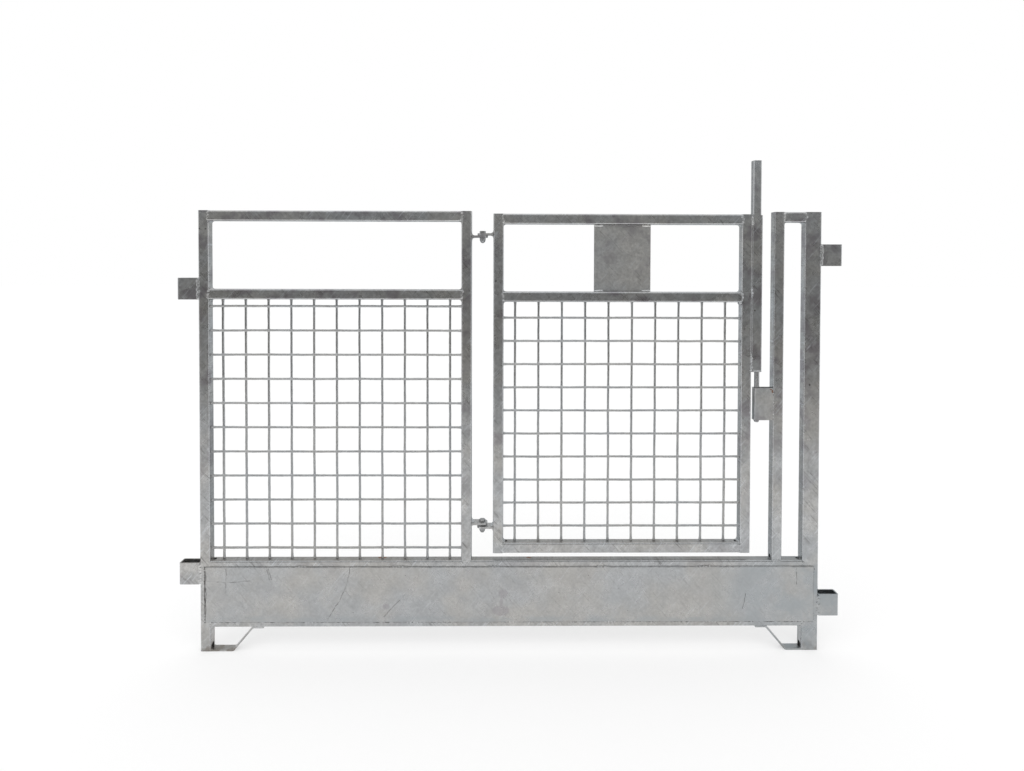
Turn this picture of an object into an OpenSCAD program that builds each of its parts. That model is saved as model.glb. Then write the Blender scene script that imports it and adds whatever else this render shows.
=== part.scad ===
// Lambing pen gate: a hurdle panel of welded box tube with a mesh infill,
// a hinged mesh gate held by a drop bolt, a kick plate and coupling sleeves.
// Millimetres. Origin on the floor under the left post's centre line,
// +X along the panel to the right, +Y to the back, +Z up. Gate closed, bolt down.

/* [Box tube] */
// Outside width of the square tube
tube = 25; // [20:1:40]
// Wall of the square tube
tube_wall = 2; // [1.5:0.5:3]
// Outside corner radius of the tube
tube_corner = 4; // [2:0.5:6]
// Width of the stronger right post
wide_post = 40; // [25:1:60]

/* [Frame] */
// Clear width of the fixed mesh panel
panel_clear = 605.5; // [400:0.5:900]
// Clear width between the hinge post and the gate's hinge stile
hinge_gap = 52; // [40:1:70]
// Clear width between the gate's latch stile and the latch post
latch_gap = 53; // [40:1:80]
// Clear width between the latch post and the right post
latch_bay = 49.5; // [30:0.5:120]
// Free height under the bottom rail
floor_gap = 60; // [40:1:120]
// How far the post tops stand above the top of the gate leaf
post_over = 6; // [0:1:40]
// Clear height of the window between the fixed panel's top and middle rails
panel_window = 163.5; // [80:0.5:300]
// Diameter of the vent and drain holes in the rails and posts
vent = 9; // [6:0.5:12]
// Distance from a vent hole's edge to the tube beside it
vent_edge = 1.5; // [0.5:0.5:10]

/* [Gate leaf] */
// Outside width of the gate leaf
leaf_width = 625; // [400:1:800]
// Height of the gate leaf
leaf_height = 822; // [600:1:1000]
// Gap between the sill rail and the gate leaf
leaf_gap = 18; // [10:1:60]
// Clear height of the window between the gate's top and middle rails
leaf_window = 162.5; // [80:0.5:300]

/* [Mesh] */
// Wire diameter
wire = 5; // [3:0.5:8]
// How far crossing wires are pressed into each other
wire_bite = 1; // [0.2:0.1:2]
// Upright wires in the fixed panel
panel_uprights = 11; // [3:1:12]
// Distance from the posts to the panel's outer upright wires
panel_edge = 28; // [15:0.5:60]
// Level wires in the fixed panel
panel_levels = 11; // [3:1:12]
// Distance from the sill rail to the panel's lowest wire
panel_low_edge = 28; // [15:0.5:60]
// Distance from the panel's highest wire to its middle rail
panel_high_edge = 16.5; // [10:0.5:60]
// Upright wires in the gate
leaf_uprights = 10; // [3:1:12]
// Distance from the hinge stile to the first upright wire
leaf_hinge_edge = 28; // [15:0.5:60]
// Distance from the last upright wire to the latch stile
leaf_latch_edge = 35.5; // [15:0.5:60]
// Level wires in the gate
leaf_levels = 10; // [3:1:12]
// Distance from the gate's rails to its outer level wires
leaf_level_edge = 38.5; // [15:0.5:60]

/* [Sheet parts] */
// Thickness of the kick plate and the sign plate
sheet = 3; // [2:0.5:4]
// Height of the kick plate
kick_height = 133; // [60:1:160]
// How far the sill rail shows above the kick plate
kick_drop = 15; // [2:1:24]
// How far the bottom rail shows below the kick plate
kick_lap = 14; // [2:1:24]
// How far the kick plate stops short of each outer post face
kick_inset = 12.5; // [2:0.5:24]
// Width of the sign plate
sign_width = 137; // [60:1:300]
// Gap above the sign plate
sign_gap = 2; // [0:0.5:10]

/* [Feet] */
// Width of the bent foot strip
foot_width = 20; // [15:1:25]
// Thickness of the foot strip
foot_strip = 4; // [3:0.5:8]
// Inside radius of the foot strip's bends
foot_bend = 6; // [3:0.5:10]
// Length of the flat tread on the floor
foot_tread = 74.5; // [50:0.5:120]
// Level distance covered by the sloping leg and its bends
foot_run = 55; // [40:1:90]
// Length of the flat flange welded under the bottom rail
foot_flange = 22; // [15:1:50]
// Width of the drain notch at the foot of an end post
drain_width = 12; // [6:1:14]
// Height of the drain notch
drain_height = 14; // [8:1:30]

/* [Couplings] */
// Width of a coupling sleeve along the panel
sleeve_width = 50; // [40:1:70]
// Height of a coupling sleeve
sleeve_height = 52; // [30:1:80]
// Wall of a coupling sleeve
sleeve_wall = 3; // [2:0.5:4]
// How far the left upper sleeve sits below the post's top
left_upper_drop = 162; // [40:1:400]
// Underside of the left lower sleeve above the floor
left_lower_at = 165; // [60:1:400]
// How far the right upper sleeve sits below the post's top
right_upper_drop = 78; // [20:1:400]
// Underside of the right lower sleeve above the floor
right_lower_at = 86; // [60:1:400]

/* [Hinges] */
// Thickness of a hinge lug
lug = 5; // [4:0.5:8]
// Diameter of the hinge bolt
hinge_bolt = 8; // [6:1:12]
// Running clearance all round the hinge bolt in the gate lug
bolt_play = 0.3; // [0.2:0.1:0.6]
// Width across flats of the hinge bolt's head and nut
hex_flats = 13; // [10:1:19]
// Height of the bolt head
bolt_head = 5.3; // [4:0.1:8]
// Height of the locking nut
nut_height = 8; // [6:0.1:12]
// Height of the nut's tapered collar
nut_collar = 3; // [1:0.1:5]
// How far the collar draws in at its end
nut_taper = 1.5; // [0.5:0.1:2]
// Thread standing out of the nut
thread_end = 4; // [1:0.5:8]
// How far the upper frame lug's underside lies below the top of the leaf
upper_lug_drop = 57.5; // [40:0.5:150]
// How far the lower frame lug's underside lies above the foot of the leaf
lower_lug_rise = 68.5; // [40:0.5:180]
// Free height between the two lower lugs
lower_lug_gap = 4; // [1:0.5:10]

/* [Drop bolt] */
// Sliding clearance all round the handle tube in its guide
slide_play = 0.5; // [0.3:0.1:2]
// How far the handle stands above the top of the leaf
handle_out = 130; // [60:1:250]
// Thickness of the handle's end plates and of the guide's cap
end_plate = 3; // [2:0.5:5]
// Length of the guide tube
guide_length = 376; // [200:1:500]
// How far the guide tube stops below the top of the leaf
guide_drop = 2; // [0:1:40]
// Diameter of the drop rod
rod = 12; // [8:1:14]
// How far the rod is set back from the front of the handle tube
rod_setback = 1.5; // [0:0.5:4]
// How far the rod's tip stands out below the keeper
rod_out = 6.5; // [0:0.5:30]
// Chamfer round the tip of the rod
rod_chamfer = 2; // [0.5:0.5:4]
// Clearance all round the rod in the cap and in the keeper
rod_play = 0.5; // [0.3:0.1:1.5]
// Sheet thickness of the keeper pocket
keeper_sheet = 2.5; // [2:0.5:4]
// Inside radius of the keeper's folds
keeper_bend = 2; // [1:0.5:4]
// Free height between the guide's cap and the keeper
keeper_gap = 39; // [20:1:80]
// Height of the keeper
keeper_height = 78; // [50:1:120]

/* [Hidden] */
// Which sub-part is drawn
// Roundness of true circles
$fn = 64;
// Sides of the mesh wires
wire_sides = 6;
// A hair used only to carry a cut past a face
past = 1;
// Running gap between parts that rest on each other
rest_gap = 0.3;
// Smallest inside corner radius of a tube
least_corner = 0.5;
// Straight pieces that draw a bend of the foot strip
bend_steps = 6;

half_tube = tube / 2;
handle = tube - 2 * tube_wall - 2 * slide_play;
// positions along the panel, measured from the left post's centre line
left_face = -half_tube;
panel_from = half_tube;
hinge_post_x = panel_from + panel_clear + half_tube;
hinge_face = hinge_post_x + half_tube;
axis_x = hinge_face + hinge_gap / 2;
leaf_from = hinge_face + hinge_gap;
leaf_to = leaf_from + leaf_width;
hinge_stile_x = leaf_from + half_tube;
latch_stile_x = leaf_to - half_tube;
latch_face = leaf_to + latch_gap;
latch_post_x = latch_face + half_tube;
bay_from = latch_face + tube;
right_post_x = bay_from + latch_bay + wide_post / 2;
right_face = right_post_x + wide_post / 2;
guide_x = leaf_to + half_tube;
rod_side = (handle - rod) / 2;
rod_x = guide_x + rod_side;
rod_y = rod_setback + (rod - handle) / 2;
panel_to = hinge_post_x - half_tube;
leaf_in_from = leaf_from + tube;
leaf_in_to = leaf_to - tube;
leaf_mid_x = (leaf_from + leaf_to) / 2;
rail_to = right_post_x - wide_post / 2;

// heights, built up from the floor
post_under = foot_strip;
kick_under = floor_gap + kick_lap;
kick_top = kick_under + kick_height;
sill_top = kick_top + kick_drop;
leaf_under = sill_top + leaf_gap;
leaf_bottom_top = leaf_under + tube;
leaf_top = leaf_under + leaf_height;
leaf_mid_top = leaf_top - tube - leaf_window;
leaf_mid_under = leaf_mid_top - tube;
post_top = leaf_top + post_over;
panel_mid_top = post_top - tube - panel_window;
panel_mid_under = panel_mid_top - tube;
post_drain_at = sill_top + vent_edge + vent / 2;
sign_under = leaf_mid_top;
sign_height = leaf_window - sign_gap;
left_upper_at = post_top - left_upper_drop - sleeve_height;
right_upper_at = post_top - right_upper_drop - sleeve_height;
upper_lug_at = leaf_top - upper_lug_drop;
lower_lug_at = leaf_under + lower_lug_rise;
upper_gate_lug_at = upper_lug_at + lug + rest_gap;
lower_gate_lug_at = lower_lug_at - lower_lug_gap - lug;
guide_top = leaf_top - guide_drop;
guide_under = guide_top - guide_length;
keeper_under = guide_under - end_plate - keeper_gap - keeper_height;
rod_tip = keeper_under - rod_out;
handle_top = leaf_top + handle_out;
handle_under = guide_under + rest_gap;
handle_length = handle_top - end_plate - handle_under - end_plate;
keeper_left = rod_x - rod / 2 - rod_play - keeper_sheet;
keeper_reach = latch_face - keeper_left;
keeper_depth = half_tube + rod_y + rod / 2 + rod_play + keeper_sheet;
wire_step = (wire - wire_bite) / 2;

// Filled outline with round corners, centred
module rounded(w, d, r) {
    square([w - 2 * r, d], center = true);
    square([w, d - 2 * r], center = true);
    for (sx = [-1, 1]) {
        for (sy = [-1, 1]) {
            translate([sx * (w / 2 - r), sy * (d / 2 - r)]) circle(r);
        }
    }
}

// Hollow box tube standing on its end at the origin
module box_tube(w, d, length, wall, r) {
    difference() {
        linear_extrude(length) rounded(w, d, r);
        translate([0, 0, -past])
            linear_extrude(length + 2 * past)
                rounded(w - 2 * wall, d - 2 * wall, max(r - wall, least_corner));
    }
}

// Upright square tube on a given centre line
module upright(x, from, to) {
    translate([x, 0, from]) box_tube(tube, tube, to - from, tube_wall, tube_corner);
}

// Level square tube with its top face at a given height
module level(from, to, top) {
    translate([from, 0, top - half_tube])
        rotate([0, 90, 0])
            box_tube(tube, tube, to - from, tube_wall, tube_corner);
}

// Upright wires spread evenly between two limits
module wire_uprights(first, last, count, low, high) {
    for (i = [0 : count - 1]) {
        translate([first + i * (last - first) / (count - 1), wire_step, low])
            cylinder(h = high - low, d = wire, $fn = wire_sides);
    }
}

// Level wires spread evenly between two limits, pressed into the uprights' fronts
module wire_levels(first, last, count, from, to) {
    for (i = [0 : count - 1]) {
        translate([from, -wire_step, first + i * (last - first) / (count - 1)])
            rotate([0, 90, 0])
                cylinder(h = to - from, d = wire, $fn = wire_sides);
    }
}

// Points round a bend, from one angle to another
function arc(centre, r, from, to) = [
    for (i = [0 : bend_steps])
        let (a = from + (to - from) * i / bend_steps)
            centre + r * [cos(a), sin(a)]
];

// Bent foot strip: tread on the floor, sloping leg, flange under the bottom rail
module foot(face, dir) {
    rise = floor_gap - 2 * (foot_strip + foot_bend);
    middle = foot_bend + foot_strip / 2;
    slope = atan2(rise, foot_run) + asin(2 * middle / norm([foot_run, rise]));
    outer = foot_bend + foot_strip;
    lower = [foot_tread, outer];
    upper = [foot_tread + foot_run, floor_gap - outer];
    flange_end = upper.x + foot_flange;
    outline = concat(
        [[0, 0]],
        arc(lower, outer, -90, slope - 90),
        arc(upper, foot_bend, slope + 90, 90),
        [[flange_end, floor_gap - foot_strip], [flange_end, floor_gap]],
        arc(upper, outer, 90, slope + 90),
        arc(lower, foot_bend, slope - 90, -90),
        [[0, foot_strip]]
    );
    translate([face, foot_width / 2, 0])
        rotate([90, 0, 0])
            linear_extrude(foot_width)
                polygon([for (p = outline) [dir * p.x, p.y]]);
}

// Cutter for a round hole through the wall of an upright tube
module side_vent(face, at) {
    translate([face, 0, at])
        rotate([0, 90, 0])
            cylinder(h = 2 * (tube_wall + past), d = vent, center = true);
}

// Cutter for a round hole through the top wall of a level tube
module top_vent(x, top) {
    translate([x, 0, top]) cylinder(h = 2 * (tube_wall + past), d = vent, center = true);
}

// Cutter for the round-topped drain notch at the foot of an end post
module foot_drain(face) {
    reach = 2 * (tube_wall + past);
    arch = drain_height - drain_width / 2;
    translate([face, 0, post_under + arch])
        rotate([0, 90, 0])
            cylinder(h = reach, d = drain_width, center = true);
    translate([face - reach / 2, -drain_width / 2, post_under - past])
        cube([reach, drain_width, arch + past]);
}

// Outline of a folded pocket: round corners on the left, open end on the right
module pocket(w, d, r) {
    translate([r, -d / 2]) square([w - r, d]);
    translate([0, r - d / 2]) square([w, d - 2 * r]);
    for (side = [-1, 1]) {
        translate([r, side * (d / 2 - r)]) circle(r);
    }
}

// Coupling sleeve: a short open box tube beside an end post
module sleeve(x, at) {
    translate([x, 0, at])
        box_tube(sleeve_width, tube, sleeve_height, sleeve_wall, tube_corner);
}

// Hinge lug: flat strip from a tube face to the hinge axis, rounded at its end
module hinge_lug(face, at, hole) {
    translate([0, 0, at])
        difference() {
            union() {
                translate([min(face, axis_x), -half_tube, 0])
                    cube([abs(axis_x - face), tube, lug]);
                translate([axis_x, 0, 0]) cylinder(h = lug, r = half_tube);
            }
            translate([axis_x, 0, -past]) cylinder(h = lug + 2 * past, d = hole);
        }
}

// Hinge bolt: hexagon head above, shank down to a given height
module hinge_pin(head_at, end_at) {
    translate([axis_x, 0, head_at])
        cylinder(h = bolt_head, d = hex_flats / cos(30), $fn = 6);
    translate([axis_x, 0, end_at]) cylinder(h = head_at - end_at, d = hinge_bolt);
}

// Locking nut with its underside at a given height: hexagon above, tapered collar below
module lock_nut(at) {
    translate([axis_x, 0, at])
        difference() {
            union() {
                translate([0, 0, nut_collar])
                    cylinder(h = nut_height - nut_collar, d = hex_flats / cos(30), $fn = 6);
                cylinder(h = nut_collar, d1 = hex_flats - 2 * nut_taper, d2 = hex_flats);
            }
            translate([0, 0, -past]) cylinder(h = nut_height + 2 * past, d = hinge_bolt);
        }
}

module left_post() {
    color([0.62, 0.64, 0.66])
        difference() {
            upright(0, post_under, post_top);
            foot_drain(panel_from);
        }
}

module hinge_post() {
    color([0.62, 0.64, 0.66])
        difference() {
            upright(hinge_post_x, sill_top, post_top);
            side_vent(hinge_face, post_drain_at);
        }
}

module latch_post() {
    color([0.62, 0.64, 0.66])
        difference() {
            upright(latch_post_x, sill_top, post_top);
            side_vent(latch_face, post_drain_at);
        }
}

module right_post() {
    color([0.62, 0.64, 0.66])
        difference() {
            translate([right_post_x, 0, post_under])
                box_tube(wide_post, tube, post_top - post_under, tube_wall, tube_corner);
            foot_drain(rail_to);
        }
}

module sill_rail() {
    color([0.6, 0.62, 0.64])
        difference() {
            level(panel_from, rail_to, sill_top);
            top_vent(panel_from + vent_edge + vent / 2, sill_top);
            top_vent(rail_to - vent_edge - vent / 2, sill_top);
        }
}

module bottom_rail() {
    color([0.6, 0.62, 0.64]) level(panel_from, rail_to, floor_gap + tube);
}

module kick_plate() {
    color([0.7, 0.72, 0.74])
        translate([left_face + kick_inset, -half_tube - sheet, kick_under])
            cube([right_face - left_face - 2 * kick_inset, sheet, kick_height]);
}

module panel_top_rail() {
    color([0.6, 0.62, 0.64]) level(panel_from, panel_to, post_top);
}

module panel_mid_rail() {
    color([0.6, 0.62, 0.64]) level(panel_from, panel_to, panel_mid_top);
}

module panel_mesh() {
    color([0.68, 0.7, 0.72]) {
        wire_uprights(panel_from + panel_edge, panel_to - panel_edge,
                      panel_uprights, sill_top, panel_mid_under);
        wire_levels(sill_top + panel_low_edge, panel_mid_under - panel_high_edge,
                    panel_levels, panel_from, panel_to);
    }
}

module latch_top_rail() {
    color([0.6, 0.62, 0.64]) level(bay_from, rail_to, post_top);
}

module left_foot() {
    color([0.66, 0.68, 0.7]) foot(left_face, 1);
}

module right_foot() {
    color([0.66, 0.68, 0.7]) foot(right_face, -1);
}

module left_upper_coupling() {
    color([0.64, 0.66, 0.68]) sleeve(left_face - sleeve_width / 2, left_upper_at);
}

module left_lower_coupling() {
    color([0.64, 0.66, 0.68]) sleeve(left_face - sleeve_width / 2, left_lower_at);
}

module right_upper_coupling() {
    color([0.64, 0.66, 0.68]) sleeve(right_face + sleeve_width / 2, right_upper_at);
}

module right_lower_coupling() {
    color([0.64, 0.66, 0.68]) sleeve(right_face + sleeve_width / 2, right_lower_at);
}

// Folded pocket welded to the latch post's face, open at top and bottom
module bolt_keeper() {
    color([0.66, 0.68, 0.7])
        translate([keeper_left, keeper_depth / 2 - half_tube, keeper_under])
            difference() {
                linear_extrude(keeper_height)
                    pocket(keeper_reach, keeper_depth, keeper_bend + keeper_sheet);
                translate([keeper_sheet, 0, -past])
                    linear_extrude(keeper_height + 2 * past)
                        pocket(keeper_reach, keeper_depth - 2 * keeper_sheet, keeper_bend);
            }
}

module upper_frame_lug() {
    color([0.64, 0.66, 0.68]) hinge_lug(hinge_face, upper_lug_at, hinge_bolt);
}

module lower_frame_lug() {
    color([0.64, 0.66, 0.68]) hinge_lug(hinge_face, lower_lug_at, hinge_bolt);
}

module upper_hinge_bolt() {
    color([0.72, 0.73, 0.74])
        hinge_pin(upper_gate_lug_at + lug + rest_gap, upper_lug_at - nut_height - thread_end);
}

module lower_hinge_bolt() {
    color([0.72, 0.73, 0.74])
        hinge_pin(lower_lug_at + lug, lower_gate_lug_at - rest_gap - nut_height - thread_end);
}

module upper_hinge_nut() {
    color([0.7, 0.71, 0.72]) lock_nut(upper_lug_at - nut_height);
}

module lower_hinge_nut() {
    color([0.7, 0.71, 0.72]) lock_nut(lower_gate_lug_at - rest_gap - nut_height);
}

module gate_hinge_stile() {
    color([0.62, 0.64, 0.66]) upright(hinge_stile_x, leaf_under, leaf_top);
}

module gate_latch_stile() {
    color([0.62, 0.64, 0.66]) upright(latch_stile_x, leaf_under, leaf_top);
}

module gate_top_rail() {
    color([0.6, 0.62, 0.64]) level(leaf_in_from, leaf_in_to, leaf_top);
}

module gate_mid_rail() {
    color([0.6, 0.62, 0.64]) level(leaf_in_from, leaf_in_to, leaf_mid_top);
}

module gate_bottom_rail() {
    color([0.6, 0.62, 0.64])
        difference() {
            level(leaf_in_from, leaf_in_to, leaf_bottom_top);
            top_vent(leaf_in_from + vent_edge + vent / 2, leaf_bottom_top);
            top_vent(leaf_in_to - vent_edge - vent / 2, leaf_bottom_top);
        }
}

module gate_mesh() {
    color([0.68, 0.7, 0.72]) {
        wire_uprights(leaf_in_from + leaf_hinge_edge, leaf_in_to - leaf_latch_edge,
                      leaf_uprights, leaf_bottom_top, leaf_mid_under);
        wire_levels(leaf_bottom_top + leaf_level_edge, leaf_mid_under - leaf_level_edge,
                    leaf_levels, leaf_in_from, leaf_in_to);
    }
}

module sign_plate() {
    color([0.72, 0.74, 0.76])
        translate([leaf_mid_x - sign_width / 2, -sheet / 2, sign_under])
            cube([sign_width, sheet, sign_height]);
}

module upper_gate_lug() {
    color([0.64, 0.66, 0.68]) hinge_lug(leaf_from, upper_gate_lug_at, hinge_bolt + 2 * bolt_play);
}

module lower_gate_lug() {
    color([0.64, 0.66, 0.68]) hinge_lug(leaf_from, lower_gate_lug_at, hinge_bolt + 2 * bolt_play);
}

module bolt_guide() {
    color([0.62, 0.64, 0.66]) upright(guide_x, guide_under, guide_top);
}

module guide_cap() {
    color([0.66, 0.68, 0.7])
        translate([guide_x, 0, guide_under - end_plate])
            difference() {
                linear_extrude(end_plate) rounded(tube, tube, tube_corner);
                translate([rod_side, rod_y, -past])
                    cylinder(h = end_plate + 2 * past, d = rod + 2 * rod_play);
            }
}

module bolt_handle() {
    color([0.64, 0.66, 0.68])
        translate([guide_x, 0, handle_under + end_plate])
            box_tube(handle, handle, handle_length, tube_wall, tube_corner);
}

module handle_cap() {
    color([0.66, 0.68, 0.7])
        translate([guide_x, 0, handle_top - end_plate])
            linear_extrude(end_plate) rounded(handle, handle, tube_corner);
}

module bolt_end_plate() {
    color([0.66, 0.68, 0.7])
        translate([guide_x, 0, handle_under])
            linear_extrude(end_plate) rounded(handle, handle, tube_corner);
}

module bolt_rod() {
    color([0.7, 0.71, 0.72])
        translate([rod_x, rod_y, rod_tip]) {
            cylinder(h = rod_chamfer, d1 = rod - 2 * rod_chamfer, d2 = rod);
            translate([0, 0, rod_chamfer])
                cylinder(h = handle_under - rod_tip - rod_chamfer, d = rod);
        }
}

left_post();
hinge_post();
latch_post();
right_post();
sill_rail();
bottom_rail();
kick_plate();
panel_top_rail();
panel_mid_rail();
panel_mesh();
latch_top_rail();
left_foot();
right_foot();
left_upper_coupling();
left_lower_coupling();
right_upper_coupling();
right_lower_coupling();
bolt_keeper();
upper_frame_lug();
lower_frame_lug();
upper_hinge_bolt();
lower_hinge_bolt();
upper_hinge_nut();
lower_hinge_nut();
gate_hinge_stile();
gate_latch_stile();
gate_top_rail();
gate_mid_rail();
gate_bottom_rail();
gate_mesh();
sign_plate();
upper_gate_lug();
lower_gate_lug();
bolt_guide();
guide_cap();
bolt_handle();
handle_cap();
bolt_end_plate();
bolt_rod();
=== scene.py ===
"""Looks of a galvanised lambing pen gate: zinc finishes, round mesh wires, weld beads and a plain studio."""

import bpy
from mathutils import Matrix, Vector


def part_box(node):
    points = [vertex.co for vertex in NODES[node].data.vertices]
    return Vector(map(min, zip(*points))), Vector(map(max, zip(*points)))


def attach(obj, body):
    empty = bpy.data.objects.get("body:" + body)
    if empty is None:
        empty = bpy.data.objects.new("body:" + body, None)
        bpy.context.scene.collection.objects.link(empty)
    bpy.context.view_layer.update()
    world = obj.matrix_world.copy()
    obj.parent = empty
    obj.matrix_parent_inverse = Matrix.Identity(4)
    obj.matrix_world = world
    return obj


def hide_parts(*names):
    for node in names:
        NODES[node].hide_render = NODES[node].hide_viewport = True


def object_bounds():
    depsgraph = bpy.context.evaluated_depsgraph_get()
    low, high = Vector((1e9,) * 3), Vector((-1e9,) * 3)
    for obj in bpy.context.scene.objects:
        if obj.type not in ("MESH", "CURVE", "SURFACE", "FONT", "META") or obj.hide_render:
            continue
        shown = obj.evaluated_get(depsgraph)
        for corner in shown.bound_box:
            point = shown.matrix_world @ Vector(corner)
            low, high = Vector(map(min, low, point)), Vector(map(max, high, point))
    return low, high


bl_info = {
    "name": "Lambing pen gate",
    "version": (1, 0, 0),
    "blender": (4, 5, 0),
    "location": "View3D > Sidebar > Pen gate",
    "description": "Dresses the packed pen gate with zinc, mesh wires and welds, in a plain studio",
    "category": "Object",
}

import math

import bpy
from bpy.props import FloatProperty, FloatVectorProperty, IntProperty, PointerProperty
from mathutils import Euler, Quaternion, Vector

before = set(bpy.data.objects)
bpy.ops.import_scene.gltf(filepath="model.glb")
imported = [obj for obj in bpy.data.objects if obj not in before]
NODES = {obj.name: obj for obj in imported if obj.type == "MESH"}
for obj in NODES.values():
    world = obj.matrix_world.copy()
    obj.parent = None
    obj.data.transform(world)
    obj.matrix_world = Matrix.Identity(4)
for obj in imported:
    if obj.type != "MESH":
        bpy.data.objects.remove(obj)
CAD_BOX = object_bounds()
MM = 0.001

POST_LOW, POST_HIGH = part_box("left_post")
PLATE_LOW, PLATE_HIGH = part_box("kick_plate")
SILL_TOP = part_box("sill_rail")[1].z
TUBE = POST_HIGH.x - POST_LOW.x
FRONT = POST_LOW.y
BACK = POST_HIGH.y
MIDDLE = (CAD_BOX[0][0] + CAD_BOX[1][0]) / 2
# The tubes' front and back faces, each with the direction into the tube
FACES = ((FRONT, 1), (BACK, -1))

IMAGE_WIDTH = 1024
IMAGE_HEIGHT = 771
SENSOR_WIDTH = 36

# Turns that lay a bar modelled along Z along each axis
ALONG_X = (0, math.pi / 2, 0)
ALONG_Y = (math.pi / 2, 0, 0)
ALONG_Z = (0, 0, 0)


def a_colour(name, description, default, most=1.0):
    """Colour that a user may change."""
    return FloatVectorProperty(
        name=name, description=description, subtype="COLOR", size=3, min=0, max=most, default=default)


def a_length(name, description, default, least=0.001):
    """Length in metres that a user may change."""
    return FloatProperty(name=name, description=description, unit="LENGTH", min=least, default=default)


def a_share(name, description, default):
    """Share from 0 to 1 that a user may change."""
    return FloatProperty(name=name, description=description, subtype="FACTOR", min=0, max=1, default=default)


def a_level(name, description, default, least=0.0):
    """Plain number that a user may change."""
    return FloatProperty(name=name, description=description, min=least, default=default)


def an_angle(name, description, degrees):
    """Angle that a user may change."""
    return FloatProperty(name=name, description=description, subtype="ANGLE", default=math.radians(degrees))


class ZincFinish(bpy.types.PropertyGroup):
    """Colours and sizes of the hot-dip zinc."""

    pale: a_colour("Pale zinc", "Clean zinc, slightly warm", (0.452, 0.445, 0.43))
    cool: a_colour("Cool zinc", "Bluish zinc patches", (0.422, 0.432, 0.44))
    # Dull zinc for dross and scuffs, also used for the painted shade in the kick plate's crevice
    dull_and_shade: a_colour("Dull zinc", "Dark dross and scuffed zinc", (0.14, 0.135, 0.13))
    # Bright zinc for the scuffs, also used for the painted highlight on the rounded corners
    bright: a_colour("Bright zinc", "Bright scuffs and rounded corners", (0.6, 0.62, 0.645))
    stain: a_colour("Stain", "Purple-grey water stains and heat marks", (0.31, 0.29, 0.31))
    # Soil colour for the brown dirt near the floor, also used as painted shade on upward faces low down
    soil_and_shade: a_colour("Soil", "Brown dirt near the floor", (0.19, 0.155, 0.12))
    rust: a_colour("Rust", "Rust specks", (0.22, 0.085, 0.03))
    wash: a_colour("Run-off", "Bluish grey where water runs off the kick plate", (0.36, 0.385, 0.4))
    metallic: a_share("Metallic", "Share of metal reflection", 0.95)
    roughness: a_share("Roughness", "Mean roughness of the zinc", 0.31)
    spangle: a_length("Spangle size", "Size of the zinc crystals", 0.009)
    patch: a_length("Patch size", "Size of the warm and cool patches", 0.16, 0.01)


class WireSizes(bpy.types.PropertyGroup):
    """Sizes of the mesh wires."""

    diameter: a_length("Wire diameter", "Diameter of a mesh wire with its zinc", 0.0056)
    flare: a_level("End flare", "How much thicker the zinc makes a wire at a tube", 1.32, 1.0)
    flare_length: a_length("Flare length", "Length of the thickened end", 0.007)
    wave: a_length("Wave", "How far the wires wander from straight", 0.0016, 0.0)
    sides: IntProperty(name="Sides", description="Sides of a wire", min=6, default=12)


class WeldSizes(bpy.types.PropertyGroup):
    """Sizes of the weld beads and of the hinge nuts."""

    web: a_length("Corner web", "Reach of the zinc and weld in an inner corner", 0.005)
    lug_web: a_length("Lug web", "Reach of the weld above and under a hinge lug", 0.007)
    groove: a_length("Groove radius", "Radius of a bead that fills a seam", 0.0041)
    seat: a_length("Seam depth", "How deep the middle of a seam's bead lies", 0.0012, 0.0)
    fill: a_length("Fill depth", "How deep the middle of the fill under the ripples lies", 0.002, 0.0)
    stitch: a_length("Stitch length", "Length of a stitch on the kick plate", 0.03, 0.005)
    tack: a_length("Tack length", "Length of a tack on the sign plate", 0.022, 0.005)
    ripple: a_length("Ripple pitch", "Distance between the ripples of a weld", 0.0075, 0.002)
    lump: a_length("Lump height", "Height of the lumps in a bead", 0.0022, 0.0)
    lump_size: a_length("Lump size", "Size of the lumps in a bead", 0.0034)
    nut_base: a_length("Nut base", "Height of a hinge nut's hexagon", 0.005)
    nut_dome: a_length("Nut dome", "Height of a hinge nut's dome", 0.0087)


class StudioSettings(bpy.types.PropertyGroup):
    """Camera, floor and light."""

    camera_at: FloatVectorProperty(
        name="Camera", description="Place of the camera", subtype="TRANSLATION", unit="LENGTH",
        size=3, default=(0.7284, -1.5, 0.9285))
    camera_tilt: an_angle("Tilt", "How far the camera looks down", 1.003)
    camera_pan: an_angle("Pan", "How far the camera is turned to the left", -0.447)
    camera_roll: an_angle("Roll", "How far the camera is rolled", 0.131)
    focal_px: a_level("Focal length in pixels", "Focal length in picture pixels", 618.6)
    axis_row: a_level("Axis row", "Picture row of the optical axis", 280.0)
    floor_size: a_length("Floor size", "Width of the floor", 60.0)
    floor: a_colour("Floor colour", "White floor", (0.95, 0.95, 0.95))
    floor_white: a_share("Floor whiteness", "How far the floor shows white, which pales its shadow", 0.5)
    sky: a_colour("Room light", "Soft light from all round", (0.8, 0.8, 0.8))
    key_strength: a_level("Key light", "Strength of the soft light from above and in front", 1.1)
    front_low: a_level("Front card, low", "Brightness of the front card near the floor", 0.19)
    front_high: a_level("Front card, high", "Brightness of the front card at its top", 0.55)
    back_low: a_level("Back card, low", "Brightness of the back card near the floor", 0.7)
    back_high: a_level("Back card, high", "Brightness of the back card at its top", 0.4)
    ground_shade: a_level("Ground card", "Brightness of the card that lies on the floor behind", 0.5)
    warm_tint: a_colour("Warm tint", "Tint of the front card near the floor", (1.03, 1.0, 0.94), 2.0)
    cool_tint: a_colour(
        "Cool tint", "Tint of the cards behind and of the front card's top", (0.95, 1.0, 1.03), 2.0)


def settings(group):
    """One of the scene's groups of sizes and colours."""
    return getattr(bpy.context.scene, "pen_gate_" + group)


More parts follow.
